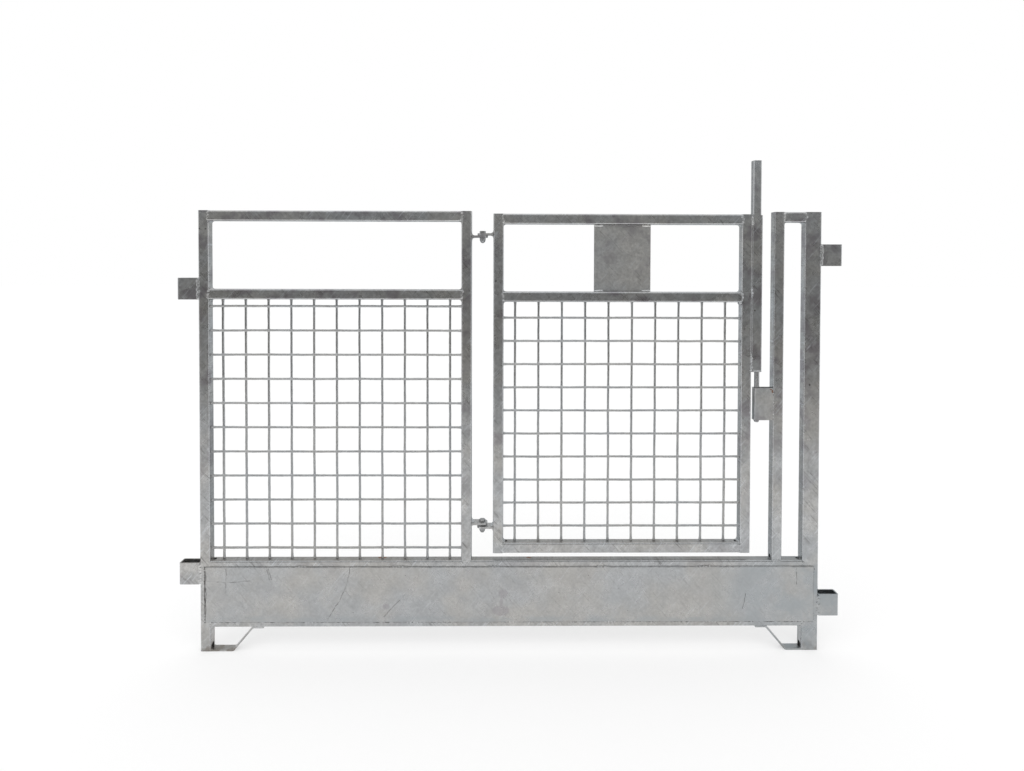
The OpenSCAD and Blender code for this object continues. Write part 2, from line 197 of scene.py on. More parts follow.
def deselect_all():
    """Object mode with nothing selected."""
    if bpy.context.object and bpy.context.object.mode != "OBJECT":
        bpy.ops.object.mode_set(mode="OBJECT")
    bpy.ops.object.select_all(action="DESELECT")


def pick(obj):
    """Select one object alone."""
    deselect_all()
    obj.select_set(True)
    bpy.context.view_layer.objects.active = obj


def edit(obj, kind, test, operation):
    """Run an edit-mode operation on the mesh elements that pass a test."""
    pick(obj)
    mesh = obj.data
    for group in (mesh.vertices, mesh.edges, mesh.polygons):
        group.foreach_set("select", [False] * len(group))
    for item in getattr(mesh, kind):
        item.select = test(item)
    bpy.context.tool_settings.mesh_select_mode = [kind == k for k in ("vertices", "edges", "polygons")]
    bpy.ops.object.mode_set(mode="EDIT")
    operation()
    bpy.ops.object.mode_set(mode="OBJECT")


def resize(obj, factors, test=lambda vertex: True):
    """Scale about the origin the corners of a mesh that pass a test."""
    edit(
        obj, "vertices", test,
        lambda: bpy.ops.transform.resize(value=factors, center_override=(0, 0, 0)))


def settle():
    """Apply the active object's place, turn and scale to its mesh."""
    bpy.ops.object.transform_apply(location=True, rotation=True, scale=True)


def cut_along(obj, axis, length, cuts):
    """Cut the edges that run the whole length of a mesh along one axis."""
    corners = obj.data.vertices
    edit(
        obj, "edges",
        lambda e: abs(corners[e.vertices[0]].co[axis] - corners[e.vertices[1]].co[axis]) > length / 2,
        lambda: bpy.ops.mesh.subdivide(number_cuts=cuts))


def round_bar(name, radius, length, sides, step):
    """Closed round bar along Z, centred, cut into rings about one step apart."""
    deselect_all()
    bpy.ops.mesh.primitive_cylinder_add(
        vertices=sides, radius=radius, depth=length, end_fill_type="TRIFAN")
    bar = bpy.context.object
    bar.name = name
    cut_along(bar, 2, length, max(1, round(length / step) - 1))
    return bar


def shape_ends(bar, length, step, rings):
    """Scale the rings near both ends of a bar: from and to, in steps from the end, and the factor."""
    for side in (-1, 1):
        for far, near, factor in rings:
            low, high = sorted(side * (length / 2 - steps * step) for steps in (far, near))
            resize(bar, (factor, factor, 1), lambda v: low - 1e-6 <= v.co.z <= high + 1e-6)


BEAD_SIDES = 10
# Distance between a bead's rings, in its radii, and how its ends draw in
BEAD_STEP = 0.4
BEAD_ENDS = ((0.2, 0, 0.45), (1.7, 0.3, 0.8))


def bead(radius, length, flat):
    """Weld bead along Z with drawn-in ends, flattened along Y."""
    step = radius * BEAD_STEP
    bar = round_bar("bead_template", radius, length, BEAD_SIDES, step)
    shape_ends(bar, length, step, BEAD_ENDS)
    resize(bar, (1, flat, 1))
    return bar


def corner_web(reach, depth):
    """Concave fillet under a rail and right of a post, sunk a little into both, its depth along Y."""
    sunk = 1 * MM
    size = reach + sunk
    deselect_all()
    bpy.ops.mesh.primitive_cube_add(size=1)
    web = bpy.context.object
    web.name = "web_template"
    web.scale = (size, depth, size)
    web.location = (size / 2 - sunk, 0, sunk - size / 2)
    settle()
    corners = web.data.vertices
    edit(
        web, "edges",
        lambda e: all(corners[i].co.x > reach / 2 and corners[i].co.z < -reach / 2 for i in e.vertices),
        lambda: bpy.ops.mesh.bevel(offset=reach * 0.98, segments=8, profile=0.08, affect="EDGES"))
    cut_along(web, 1, depth, 6)
    return web


def copy_to(template, turn, at):
    """Copy of a template with its own mesh, turned and placed in the mesh itself."""
    pick(template)
    bpy.ops.object.duplicate()
    made = bpy.context.object
    made.rotation_euler = Euler(turn)
    made.location = Vector(at)
    settle()
    return made


def joined(parts, name):
    """One named object made of several."""
    deselect_all()
    for part in parts:
        part.select_set(True)
    bpy.context.view_layer.objects.active = parts[0]
    if len(parts) > 1:
        bpy.ops.object.join()
    made = bpy.context.object
    made.name = name
    made.data.name = name
    return made


def displace(obj, size, height, direction="NORMAL"):
    """Apply a lumpy displacement of a given grain and height."""
    texture = bpy.data.textures.new(obj.name + "_lumps", "CLOUDS")
    texture.noise_scale = size
    pick(obj)
    modifier = obj.modifiers.new("lumps", "DISPLACE")
    modifier.texture = texture
    modifier.texture_coords = "GLOBAL"
    modifier.direction = direction
    modifier.strength = height
    modifier.mid_level = 0.5
    bpy.ops.object.modifier_apply(modifier=modifier.name)


SMOOTH_ANGLE = math.radians(50)


def dress(obj, material, body):
    """Smooth, give a material unless the piece has its own, and ride on a body."""
    pick(obj)
    bpy.ops.object.shade_smooth_by_angle(angle=SMOOTH_ANGLE)
    if material:
        obj.data.materials.clear()
        obj.data.materials.append(material)
    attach(obj, body)


# Radius and width of the ripples of each hand weld
RIPPLES = {
    "rail": (2.9 * MM, 8 * MM),
    "post foot": (2.4 * MM, 6 * MM),
    "coupling": (3.3 * MM, 10 * MM),
    "keeper": (2.4 * MM, 6 * MM),
    "guide": (2.6 * MM, 7 * MM),
    "plate top": (2.6 * MM, 6.5 * MM),
    "plate foot": (2.4 * MM, 6 * MM),
    "plate end": (2.5 * MM, 6 * MM),
}
# Lean of a ripple and how far it varies, in degrees, and how far a ripple strays, in its widths
RIPPLE_LEAN = 55
RIPPLE_SWAY = 14
RIPPLE_STRAY = 0.15
# Phase of the varying from ripple to ripple, and for each metre that a weld lies further along or up
RIPPLE_PHASE = 2.4
PLACE_PHASE = 40
# Quarter turns of a web, for the post's side it is on and whether it lies under the rail
CORNER_QUARTERS = {(1, True): 0, (-1, True): 1, (-1, False): 2, (1, False): 3}


class Beads:
    """Weld beads gathered for one piece."""

    def __init__(self):
        self.templates = {}
        self.made = []

    def run(self, radius, length, turn, at, flat=0.55):
        """Lay one bead."""
        self.lay(bead, (round(radius, 5), round(length, 5), flat), turn, at)

    def ripples(self, kind, length, turn, at, flat=0.6):
        """Row of short leaning beads, as a hand weld leaves along a seam; the seam runs along X or Z."""
        radius, width = RIPPLES[kind]
        count = max(2, round(length / settings("welds").ripple))
        level = turn == ALONG_X
        along = Vector((1, 0, 0)) if level else Vector((0, 0, 1))
        across = Vector((0, 0, 1)) if level else Vector((1, 0, 0))
        for index in range(count):
            wander = math.sin(RIPPLE_PHASE * index + PLACE_PHASE * (at[0] + at[2]))
            place = Vector(at) + along * length * ((index + 0.5) / count - 0.5)
            place += across * RIPPLE_STRAY * width * wander
            lean = math.radians(RIPPLE_LEAN + RIPPLE_SWAY * wander) + (math.pi / 2 if level else 0)
            self.run(radius, width, (0, lean, 0), place, flat)

    def hand_weld(self, kind, length, turn, x, z, thicker=1.0, flat=0.55):
        """Filled seam with ripples over it, on the front and on the back."""
        sizes = settings("welds")
        for y, inward in FACES:
            self.run(sizes.groove * thicker, length, turn, (x, y + inward * sizes.fill, z), flat)
            self.ripples(kind, length, turn, (x, y + inward * sizes.seat, z))

    def web(self, reach, depth, side, under, at):
        """Fill an inner corner on one side of a post, under a rail or above it."""
        turn = (0, CORNER_QUARTERS[(side, under)] * math.pi / 2, 0)
        self.lay(corner_web, (round(reach, 5), round(depth, 5)), turn, at)

    def lay(self, shape, key, turn, at):
        """Copy a template to its place, making it first if it is new."""
        if (shape, key) not in self.templates:
            self.templates[(shape, key)] = shape(*key)
        self.made.append(copy_to(self.templates[(shape, key)], turn, at))

    def finish(self, name, body, finish="weld", lump=1.0):
        """Join the beads into one lumpy piece on a body."""
        sizes = settings("welds")
        piece = joined(self.made, name)
        displace(piece, sizes.lump_size, sizes.lump * lump)
        dress(piece, MATERIALS[finish], body)
        for template in self.templates.values():
            bpy.data.objects.remove(template)


class Graph:
    """Short words for building a material's nodes."""

    def __init__(self, tree):
        self.tree = tree

    def node(self, kind, inputs=None, **options):
        """New node with its options set and its inputs set or linked."""
        made = self.tree.nodes.new(kind)
        for key, value in options.items():
            setattr(made, key, value)
        self.feed(made, inputs or {})
        return made

    def feed(self, node, inputs):
        """Set or link a node's inputs."""
        for key, value in inputs.items():
            if isinstance(value, bpy.types.NodeSocket):
                self.tree.links.new(value, node.inputs[key])
            else:
                node.inputs[key].default_value = value

    def math(self, operation, a, b=0.0, clamp=False):
        """Number worked out from two others."""
        return self.node("ShaderNodeMath", {0: a, 1: b}, operation=operation, use_clamp=clamp).outputs[0]

    def times(self, a, b, clamp=False):
        """Product of two numbers."""
        return self.math("MULTIPLY", a, b, clamp)

    def vector(self, operation, a, b):
        """Vector worked out from two others."""
        return self.node("ShaderNodeVectorMath", {0: a, 1: b}, operation=operation).outputs[0]

    def measure(self, operation, a, b=(0, 0, 0)):
        """Length, distance or dot product of vectors."""
        return self.node("ShaderNodeVectorMath", {0: a, 1: b}, operation=operation).outputs["Value"]

    def parts(self, vector):
        """X, Y and Z of a vector."""
        return self.node("ShaderNodeSeparateXYZ", {0: vector}).outputs

    def fade(self, value, low, high, out_low=0.0, out_high=1.0):
        """Smooth ramp of a value between two limits."""
        return self.node(
            "ShaderNodeMapRange",
            {"Value": value, "From Min": low, "From Max": high, "To Min": out_low, "To Max": out_high},
            interpolation_type="SMOOTHSTEP").outputs[0]

    def noise(self, at, size, detail=2.0, roughness=0.5):
        """Noise with grains of a given size in metres."""
        return self.node(
            "ShaderNodeTexNoise",
            {"Vector": at, "Scale": 1 / size, "Detail": detail, "Roughness": roughness}).outputs["Fac"]

    def mix(self, factor, a, b, blend="MIX"):
        """Mixture of two colours."""
        return self.node(
            "ShaderNodeMix", {"Factor": factor, 6: a, 7: b}, data_type="RGBA", blend_type=blend).outputs[2]

    def stretched(self, at, turn, along, across):
        """Coordinates turned about Y and stretched, for scuffs."""
        mapped = self.node(
            "ShaderNodeMapping", {"Vector": at, "Rotation": (0, turn, 0), "Scale": (along, 0.05, across)},
            vector_type="TEXTURE")
        return mapped.outputs[0]


def new_material(name):
    """Material with nodes, and its graph."""
    material = bpy.data.materials.new(name)
    material.use_nodes = True
    return material, Graph(material.node_tree)


def rgba(colour, value=1.0):
    """A colour with alpha, scaled."""
    return (*(min(1.0, c * value) for c in colour), 1.0)


# Length and width of the fine scuffs and of the patches they come in
SCUFF_LINE = (50 * MM, 2.2 * MM)
SCUFF_PATCH = (90 * MM, 30 * MM)


def scuffs(graph, place, degrees):
    """Fine parallel scuffs at an angle, as a mask."""
    turn = math.radians(degrees)
    lines = graph.noise(graph.stretched(place, turn, *SCUFF_LINE), 1.0, 3.0, 0.6)
    patches = graph.noise(graph.stretched(place, turn, *SCUFF_PATCH), 1.0)
    return graph.times(graph.fade(lines, 0.57, 0.67), graph.fade(patches, 0.4, 0.56))


# Painted shade in the crevice round the kick plate, as a dark broken line: its reach under the plate and its
# width, how much wider it is at the left and the right end, and its strength along the foot and the top, and
# at the left and the right end
SEAM_UNDER = 2.2 * MM
SEAM_WIDTH = 1.3 * MM
SEAM_WIDER = (1.7 * MM, 1 * MM)
SEAM_LEVEL = (1.5, 0.45)
SEAM_ENDS = (2.4, 0.4)


def plate_seam_shade(graph, place):
    """Painted shade: a dark broken line along the kick plate's outline, on the plate and on the tubes beside
    it, where shade falls in the crevice.
    """
    parts = graph.parts(place)
    spans = []
    for axis, low, high in (
            ("X", PLATE_LOW.x, PLATE_HIGH.x), ("Z", PLATE_LOW.z - SEAM_UNDER, PLATE_HIGH.z)):
        from_middle = graph.math("ABSOLUTE", graph.math("SUBTRACT", parts[axis], (low + high) / 2))
        spans.append(graph.math("SUBTRACT", from_middle, (high - low) / 2))
    edge = graph.math("ABSOLUTE", graph.math("MAXIMUM", *spans))
    upright = graph.fade(graph.math("SUBTRACT", *spans), -2 * MM, 2 * MM)
    along = (parts["X"], PLATE_LOW.x + 100 * MM, PLATE_HIGH.x - 100 * MM)
    up = (parts["Z"], PLATE_LOW.z + 10 * MM, PLATE_HIGH.z - 10 * MM)
    width = graph.fade(graph.noise(place, 12 * MM, 3.0, 0.6), 0.4, 0.66, 0.0, SEAM_WIDTH)
    width = graph.math("ADD", width, graph.times(upright, graph.fade(*along, *SEAM_WIDER)))
    level = graph.fade(*up, *SEAM_LEVEL)
    ends = graph.fade(*along, *SEAM_ENDS)
    strength = graph.node("ShaderNodeMix", {"Factor": upright, 2: level, 3: ends}).outputs[0]
    line = graph.fade(graph.math("SUBTRACT", edge, width), 0.5 * MM, -0.5 * MM)
    front = graph.fade(parts["Y"], FRONT + 2 * MM, FRONT + 1 * MM)
    broken = graph.fade(graph.noise(place, 70 * MM, 4.0, 0.6), 0.4, 0.54, 0.3, 0.8)
    broken = graph.times(broken, strength, clamp=True)
    return graph.times(graph.times(line, front), broken)


def stroke(graph, place, start, end):
    """Distance from a straight stroke on the plate's face."""
    reach = end - start
    along = graph.vector("SUBTRACT", place, start)
    passed = graph.measure("DOT_PRODUCT", along, reach)
    passed = graph.math("DIVIDE", passed, reach.length_squared, clamp=True)
    nearest = graph.node("ShaderNodeVectorMath", {0: reach, "Scale": passed}, operation="SCALE").outputs[0]
    return graph.measure("DISTANCE", along, nearest)


# Scratches on the kick plate, in mm along the panel and above the floor
PLATE_SCRATCHES = (
    ((351, 209), (348, 192), (341, 160), (326, 129), (309, 101), (296, 82)),
    ((481, 139), (431, 87)),
    ((2, 175), (52, 171), (109, 174)),
    ((52, 205), (51, 146)),
    ((150, 202), (157, 178)),
    ((153, 204), (160, 184), (162, 178)),
    ((1302, 106), (1309, 142)),
    ((1433, 205), (1433, 165)),
    ((2.5, 198), (1.5, 172), (4.5, 150), (2, 122), (4, 112), (1.5, 88)),
    ((4.5, 186), (3.5, 176)),
)
# Stains on the kick plate: middle along and up, half width and half height, in mm
PLATE_STAINS = ((720, 143, 11.5, 11.5), (714, 101, 22, 13), (716, 122, 4, 14), (437, 112, 9, 7))
# Rust on the keeper, in the same order
RUST_SPOTS = ((1371, 634, 2.6, 4.5), (1367, 639, 3, 1.6))
# Dark dross specks on the posts, the stile and the guide, in the same order
DROSS_SPECKS = (
    (-8.4, 1024, 2, 2), (6.3, 1023, 2, 2), (701.5, 900, 2, 2.5), (1462, 650, 2, 3), (1327, 830, 2.5, 2))
# Rust on the sill's top by the feet of two wires: middle along and back, half length and half width, in mm
SILL_RUST = ((424, 5, 11, 5), (783, 4, 7, 4))
# How far the edges of marks wander
RAGGED_MARKS = 4 * MM
RAGGED_PLATE = 5 * MM


def shaken(graph, place, reach):
    """Place without its depth, moved a little by noise so that marks get ragged edges."""
    noise = graph.node("ShaderNodeTexNoise", {"Vector": place, "Scale": 60.0, "Detail": 2.0}).outputs["Color"]
    noise = graph.vector("MULTIPLY", graph.vector("SUBTRACT", noise, (0.5, 0.5, 0.5)), (reach, 0, reach))
    return graph.vector("ADD", graph.vector("MULTIPLY", place, (1, 0, 1)), noise)


def spots(graph, flat, places):
    """Mask of oval spots on a flat face."""
    covered = None
    for x, z, wide, high in places:
        away = graph.vector("SUBTRACT", flat, Vector((x, 0, z)) * MM)
        away = graph.vector("DIVIDE", away, (wide * MM, 1, high * MM))
        spot = graph.fade(graph.measure("LENGTH", away), 1.05, 0.85)
        covered = spot if covered is None else graph.math("MAXIMUM", covered, spot)
    return covered


def washed_end(graph, place, end, least):
    """Mask of the panel's bluish right end, broken into patches."""
    return graph.times(end, graph.fade(graph.noise(place, 60 * MM, 4.0, 0.65), 0.36, 0.6, least, 1.0))


def front_marks(graph, place, colour):
    """Rust and dross specks on the pieces' fronts, rust on the sill's top, and a bluish right foot."""
    finish = settings("zinc")
    parts = graph.parts(place)
    end = graph.times(graph.fade(parts["X"], 1.25, 1.46), graph.fade(parts["Z"], 0.3, 0.18))
    colour = graph.mix(washed_end(graph, place, end, 0.35), colour, rgba(finish.wash, 0.95))
    front = graph.fade(parts["Y"], -6 * MM, -9 * MM)
    flat = shaken(graph, place, RAGGED_MARKS)
    dross = graph.times(spots(graph, flat, DROSS_SPECKS), front)
    colour = graph.mix(graph.times(dross, 0.8), colour, rgba(finish.dull_and_shade, 0.5))
    rusty = graph.times(spots(graph, flat, RUST_SPOTS), front)
    from_above = graph.node("ShaderNodeCombineXYZ", {"X": parts["X"], "Z": parts["Y"]}).outputs[0]
    on_sill = graph.node(
        "ShaderNodeMath", {0: parts["Z"], 1: SILL_TOP, 2: 0.5 * MM}, operation="COMPARE").outputs[0]
    flat_sill = shaken(graph, from_above, RAGGED_MARKS)
    rusty = graph.math("MAXIMUM", rusty, graph.times(spots(graph, flat_sill, SILL_RUST), on_sill))
    return graph.mix(graph.times(rusty, 0.75), colour, rgba(finish.rust))


def plate_marks(graph, place, colour):
    """Scratches, stains, a bluer right end and a bluish run-off along the foot of the kick plate."""
    finish = settings("zinc")
    parts = graph.parts(place)
    front = graph.fade(parts["Y"], PLATE_LOW.y + 1.5 * MM, PLATE_LOW.y + 0.5 * MM)
    flat = shaken(graph, place, RAGGED_PLATE)
    nearest = None
    for points in PLATE_SCRATCHES:
        turns = [Vector((x, 0, z)) * MM for x, z in points]
        for start, end in zip(turns, turns[1:]):
            away = stroke(graph, flat, start, end)
            nearest = away if nearest is None else graph.math("MINIMUM", nearest, away)
    broken = graph.fade(graph.noise(place, 10 * MM), 0.35, 0.55, 0.12, 0.62)
    scratch = graph.times(graph.fade(nearest, 1.3 * MM, 0.4 * MM), broken)
    stained = graph.times(spots(graph, flat, PLATE_STAINS), front)
    low = graph.fade(parts["Z"], PLATE_LOW.z + 20 * MM, PLATE_LOW.z + 8 * MM)
    runs = graph.noise(graph.vector("MULTIPLY", place, (0.35, 1, 1)), 20 * MM, 4.0, 0.6)
    run_off = graph.times(low, graph.fade(runs, 0.4, 0.58, 0.05, 0.5))
    end = graph.fade(parts["X"], PLATE_HIGH.x - 350 * MM, PLATE_HIGH.x - 50 * MM, 0.0, 0.8)
    washed = graph.math("MAXIMUM", run_off, washed_end(graph, place, end, 0.2))
    colour = graph.mix(graph.times(washed, front), colour, rgba(finish.wash))
    colour = graph.mix(graph.times(stained, 0.45), colour, rgba(finish.stain))
    return graph.mix(graph.times(scratch, front), colour, rgba(finish.dull_and_shade, 0.6))


def corner_highlight_mask(graph, normal):
    """Mask of the rounded corners of the tubes, where the surface faces between two axes; it paints a
    highlight on the corners and lowers their roughness.
    """
    sizes = [graph.math("ABSOLUTE", part) for part in graph.parts(normal)]
    largest = graph.math("MAXIMUM", graph.math("MAXIMUM", sizes[0], sizes[1]), sizes[2])
    return graph.fade(largest, 0.985, 0.86)


# Sizes of the zinc's patterns
CLOUD = 35 * MM
MOTTLE = 7 * MM
GRAIN = 2.4 * MM
HEAT_MARK = 55 * MM
SPECK = 6 * MM
DIRT_PATCH = 20 * MM
# Angles of the scuffs in degrees, and the height of the relief
RISING = 48
FALLING = -50
RELIEF = 0.6 * MM


def zinc(name, value=1.0, streaks=1.0, blotch=1.0, seam=False, bump=1.0, rougher=0.0, marks=None):
    """Hot-dip zinc: warm and cool patches, crystals, diagonal scuffs, specks and dirt low down, with painted
    shade on upward faces low down, a painted highlight on the rounded corners and, where asked, painted shade
    in the kick plate's seam.

    value scales the brightness, streaks the scuffs and heat marks, blotch the clouds and bump the relief.
    """
    finish = settings("zinc")
    material, graph = new_material(name)
    coordinates = graph.node("ShaderNodeTexCoord").outputs
    place = coordinates["Object"]
    height = graph.parts(place)["Z"]
    corner = corner_highlight_mask(graph, coordinates["Normal"])

    patches = graph.noise(place, finish.patch, 3.0, 0.6)
    colour = graph.mix(graph.fade(patches, 0.36, 0.64), rgba(finish.pale, value), rgba(finish.cool, value))
    cells = graph.node("ShaderNodeTexVoronoi", {"Vector": place, "Scale": 1 / finish.spangle})
    crystal = graph.node("ShaderNodeSeparateColor", {0: cells.outputs["Color"]}).outputs[0]
    clouds = graph.noise(place, CLOUD, 6.0, 0.62)
    mottle = graph.noise(place, MOTTLE, 4.0, 0.6)
    grain = graph.noise(place, GRAIN)
    tone = graph.fade(clouds, 0.25, 0.75, 1 - 0.1 * blotch, 1 + 0.08 * blotch)
    tone = graph.times(tone, graph.fade(mottle, 0.25, 0.75, 1 - 0.11 * blotch, 1 + 0.09 * blotch))
    tone = graph.times(tone, graph.fade(crystal, 0.0, 1.0, 0.965, 1.035))
    tone = graph.times(tone, graph.fade(grain, 0.2, 0.8, 0.92, 1.08))
    grey = graph.node("ShaderNodeCombineColor", {0: tone, 1: tone, 2: tone}).outputs[0]
    colour = graph.mix(1.0, colour, grey, "MULTIPLY")

    rising = scuffs(graph, place, RISING)
    falling = scuffs(graph, place, FALLING)
    heat = graph.fade(graph.noise(place, HEAT_MARK, 3.0, 0.6), 0.5, 0.66, 0.0, 0.6 * streaks)
    heat = graph.times(heat, graph.fade(height, 0.3, 0.65, 0.25, 1.0))
    specks = graph.fade(graph.noise(place, SPECK, 1.0), 0.79, 0.83, 0.0, 0.75)
    soiled = graph.fade(graph.noise(place, DIRT_PATCH, 4.0), 0.4, 0.62, 0.0, 0.6)
    soiled = graph.times(graph.fade(height, 0.05, 0.0), soiled)
    upward = graph.parts(coordinates["Normal"])["Z"]
    # Painted shade: upward faces low down, such as the sill's top, are darkened towards the soil colour;
    # together with the brown dirt near the floor this mask also roughens the zinc
    top_shade = graph.times(graph.fade(upward, 0.75, 0.95), graph.fade(height, 0.3, 0.25, 0.0, 0.3))
    dirt_and_top_shade = graph.math("MAXIMUM", soiled, top_shade)
    for mask, over in (
            (heat, rgba(finish.stain, 0.9)),
            (graph.times(rising, 0.5 * streaks), rgba(finish.dull_and_shade)),
            (graph.times(falling, 0.65 * streaks), rgba(finish.bright)),
            # Painted highlight: the rounded corners are mixed towards bright zinc
            (graph.times(corner, 0.35), rgba(finish.bright)),
            (specks, rgba(finish.dull_and_shade, 0.45)),
            (dirt_and_top_shade, rgba(finish.soil_and_shade))):
        colour = graph.mix(mask, colour, over)
    if marks:
        colour = marks(graph, place, colour)
    if seam:
        # Painted shade: the crevice round the kick plate is darkened with dull zinc
        colour = graph.mix(plate_seam_shade(graph, place), colour, rgba(finish.dull_and_shade, 0.7))

    roughness = finish.roughness + rougher
    gloss = graph.fade(clouds, 0.3, 0.7, roughness + 0.05, roughness - 0.04)
    gloss = graph.math("ADD", gloss, graph.fade(crystal, 0.0, 1.0, -0.03, 0.03))
    gloss = graph.math("ADD", gloss, graph.times(corner, -0.06))
    gloss = graph.math("ADD", gloss, graph.times(dirt_and_top_shade, 0.3), clamp=True)
    relief = graph.math("ADD", graph.times(grain, 0.5), mottle)
    relief = graph.math("SUBTRACT", relief, graph.times(rising, 0.5))
    bumped = graph.node("ShaderNodeBump", {"Strength": 0.2 * bump, "Distance": RELIEF, "Height": relief})

    graph.feed(graph.tree.nodes["Principled BSDF"], {
        "Base Color": colour, "Roughness": gloss, "Normal": bumped.outputs[0], "Metallic": finish.metallic})
    return material


# How the zinc differs from one kind of piece to the next
FINISHES = {
    "tube": dict(name="zinc_tube", value=1.02, streaks=1.35, blotch=1.25, seam=True, marks=front_marks),
    "plate": dict(name="zinc_kick_plate", streaks=0.5, blotch=0.5, seam=True, marks=plate_marks),
    "sheet": dict(name="zinc_sheet", value=1.12, streaks=0.9, rougher=0.16, marks=front_marks),
    # The same wire zinc in two copies: lighter for the level wires and the crossings as painted light, darker
    # for the uprights as painted shade
    "wire": dict(name="zinc_wire", value=1.1, streaks=0.3),
    "upright": dict(name="zinc_upright_wire", value=0.8, streaks=0.3),
    "weld": dict(name="zinc_weld", value=1.15, streaks=0.2, blotch=2.2, bump=1.6, marks=front_marks),
    "tacks": dict(name="zinc_sign_tacks", value=1.6, streaks=0.2, blotch=1.4, bump=1.6, rougher=0.25),
    # Darker zinc for the bead in the sign plate's gap: painted shade
    "seam": dict(name="zinc_sign_seam", value=0.6, streaks=0.2),
    "nuts": dict(name="zinc_hinge_nuts", value=0.62, streaks=0.0, blotch=0.8, rougher=0.08),
    "bolts": dict(name="zinc_plated_bolts", value=0.85, streaks=0.0, blotch=0.5, bump=0.4),
}
# The materials made from them
MATERIALS = {}
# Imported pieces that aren't finished as tube
NODE_FINISHES = {
    "kick_plate": "plate",
    **dict.fromkeys(("sign_plate", "bolt_keeper"), "sheet"),
    **dict.fromkeys(("upper_frame_lug", "lower_frame_lug", "upper_gate_lug", "lower_gate_lug"), "sheet"),
    **dict.fromkeys(("upper_hinge_bolt", "lower_hinge_bolt", "upper_hinge_nut", "lower_hinge_nut"), "bolts"),
}


class PENGATE_OT_finish(bpy.types.Operator):
    """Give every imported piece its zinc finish."""

    bl_idname = "pen_gate.finish"
    bl_label = "Zinc finish"

    def execute(self, context):
        for kind, looks in FINISHES.items():
            MATERIALS[kind] = zinc(**looks)
        for name, node in NODES.items():
            for slot in node.material_slots:
                slot.material = MATERIALS[NODE_FINISHES.get(name, "tube")]
        return {"FINISHED"}


def wire_ends(node, run, across):
    """Middles of the wires of a mesh that run along one axis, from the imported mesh's own ends."""
    low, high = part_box(node)
    ends = [v.co for v in NODES[node].data.vertices if v.co[run] > high[run] - 1e-5]
    places = sorted(c[across] for c in ends)
    groups = [[places[0]]]
    for place in places[1:]:
        if place - groups[-1][-1] > 2 * settings("wires").diameter:
            groups.append([])
        groups[-1].append(place)
    depth = (min(c.y for c in ends) + max(c.y for c in ends)) / 2
    return [(group[0] + group[-1]) / 2 for group in groups], depth, low[run], high[run]


def wire_bar(length):
    """One round wire along Z, thickened by zinc where it meets the tubes."""
    sizes = settings("wires")
    bar = round_bar("wire_template", sizes.diameter / 2, length, sizes.sides, sizes.flare_length)
    taper = 1 + (sizes.flare - 1) * 0.25
    shape_ends(bar, length, sizes.flare_length, ((0.4, 0, sizes.flare), (1.4, 0.5, taper)))
    return bar


# How far a wire reaches into the tubes, and how far apart its waves are
WIRE_SINK = 1 * MM
WAVE_SIZE = 110 * MM
# Grain and height of the zinc's lumps along a wire and at a crossing
WIRE_LUMPS = (5 * MM, 0.9 * MM)
CROSSING_LUMPS = (4 * MM, 2.2 * MM)
# Radius of a crossing's lump, in wire diameters, and how it is pressed flat
CROSSING_RADIUS = 0.62
CROSSING_SHAPE = (1.25, 0.8, 1.25)


class PENGATE_OT_wires(bpy.types.Operator):
    """Model the two welded meshes from round, slightly wavy wires."""

    bl_idname = "pen_gate.wires"
    bl_label = "Mesh wires"

    def execute(self, context):
        for node, body in (("panel_mesh", "frame"), ("gate_mesh", "gate")):
            # Uprights take the darker copy of the wire zinc and level wires the lighter one: painted shade
            # and painted light
            uprights, columns = self.wires(node, 2, 0, ALONG_Z, "X", "upright")
            level_wires, rows = self.wires(node, 0, 2, ALONG_X, "Z", "wire")
            lumps = self.crossings(node, columns, rows)
            piece = joined([uprights, level_wires, lumps], node.replace("mesh", "wires"))
            dress(piece, None, body)
            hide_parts(node)
        return {"FINISHED"}

    def wires(self, node, run, across, turn, sway, finish):
        """All wires of a mesh that run one way, and their places across."""
        places, depth, low, high = wire_ends(node, run, across)
        template = wire_bar(high - low + 2 * WIRE_SINK)
        parts = []
        for place in places:
            at = Vector((0, depth, 0))
            at[run] = (low + high) / 2
            at[across] = place
            parts.append(copy_to(template, turn, at))
        bpy.data.objects.remove(template)
        wires = joined(parts, node + "_" + sway)
        displace(wires, WAVE_SIZE, settings("wires").wave, sway)
        displace(wires, *WIRE_LUMPS)
        wires.data.materials.append(MATERIALS[finish])
        return wires, places

    def crossings(self, node, columns, rows):
        """Small lumps of weld and zinc where the wires cross."""
        deselect_all()
        bpy.ops.mesh.primitive_ico_sphere_add(
            subdivisions=2, radius=settings("wires").diameter * CROSSING_RADIUS)
        template = bpy.context.object
        resize(template, CROSSING_SHAPE, lambda v: abs(v.co.z) > 0)
        parts = [copy_to(template, ALONG_Z, (x, 0, z)) for x in columns for z in rows]
        bpy.data.objects.remove(template)
        lumps = joined(parts, node + "_crossings")
        displace(lumps, *CROSSING_LUMPS)
        lumps.data.materials.append(MATERIALS["wire"])
        return lumps


# Length of a seam across a tube and of a web in a corner, and how far a rail's seam lies over the post
ACROSS_TUBE = TUBE - 3 * MM
WEB_DEPTH = TUBE - 5 * MM
OVER_POST = 1.2 * MM
# A rail this near to the end of its post is flush with it
FLUSH = 1 * MM


